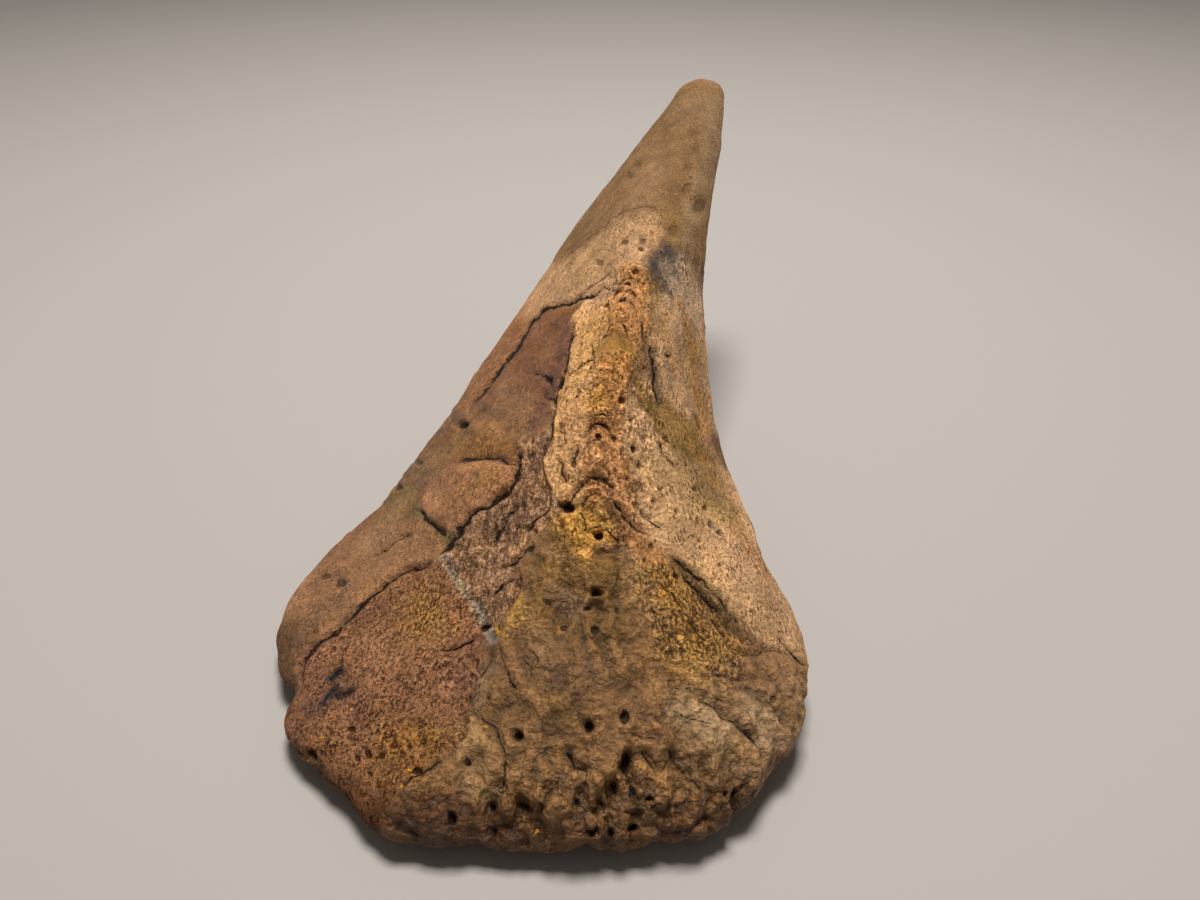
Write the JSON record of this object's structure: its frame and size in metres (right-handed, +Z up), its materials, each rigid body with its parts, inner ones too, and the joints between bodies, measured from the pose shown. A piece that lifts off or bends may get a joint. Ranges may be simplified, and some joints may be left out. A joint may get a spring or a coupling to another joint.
{
  "type": "fossil ankylosaur scute",
  "caption": "Fossil armour spike of an ankylosaur: a broad, hollow-bottomed base narrows to a long keeled spike that leans back to a blunt tip.",
  "frame": {"origin": "under the middle of the outline, on the surface that the scute lies on", "axes": "+Z up; +Y from the round base end towards the spike's tip; +X to the right as seen from the base end"},
  "size_m": [0.0934, 0.1706, 0.0711],
  "materials": {
    "fossil_bone": "dry mineralised bone, matte, porous and cracked, tan to orange brown with ochre, pink, olive and grey patches"
  },
  "bodies": {
    "root": {"scute": "fossil_bone"}
  },
  "joints": []
}
